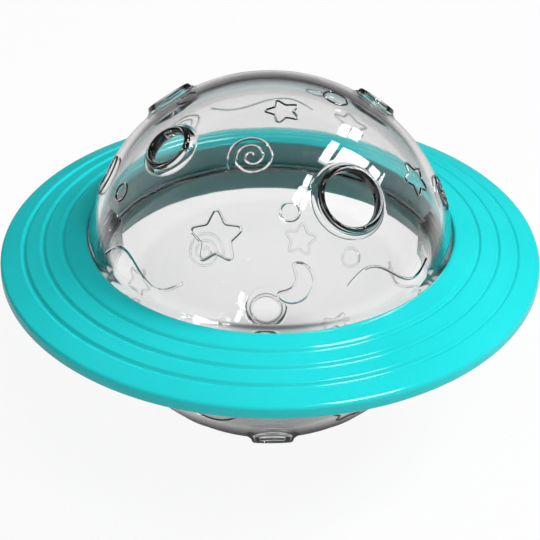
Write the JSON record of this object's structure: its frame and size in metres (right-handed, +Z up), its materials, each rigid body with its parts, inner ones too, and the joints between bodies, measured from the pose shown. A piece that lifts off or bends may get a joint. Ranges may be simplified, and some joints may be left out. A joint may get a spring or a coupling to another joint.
{
  "type": "treat ball",
  "caption": "Clear two-part treat ball with collared treat holes, screwed together around a grooved flying disc; treats fall out as a pet rolls or throws it.",
  "frame": {"origin": "middle of the flat under the ball, where it stands", "axes": "+Z up along the ball's screw axis; -Y is the front, which the picture shows"},
  "size_m": [0.18, 0.18, 0.1211],
  "materials": {
    "clear_shell": "clear polycarbonate, moulded and polished",
    "disc": "turquoise thermoplastic rubber, moulded, satin gloss"
  },
  "bodies": {
    "lower_shell": {"lower_shell": "clear_shell"},
    "disc": {"disc": "disc"},
    "upper_shell": {"upper_shell": "clear_shell"}
  },
  "joints": [
    {"name": "disc_turn", "type": "hinge", "parent": "lower_shell", "child": "disc", "pos_m": [0, 0, 0.05964], "axis": [0, 0, 1], "range_deg": [0, 360]},
    {"name": "upper_shell_lift", "type": "slide", "parent": "disc", "child": "upper_shell", "axis": [0, 0, 1], "range_m": [0, 0.0241]}
  ],
  "couplings": [
    {"joint": "upper_shell_lift", "follows": "disc_turn", "m_per_rad": 0.0038197}
  ]
}
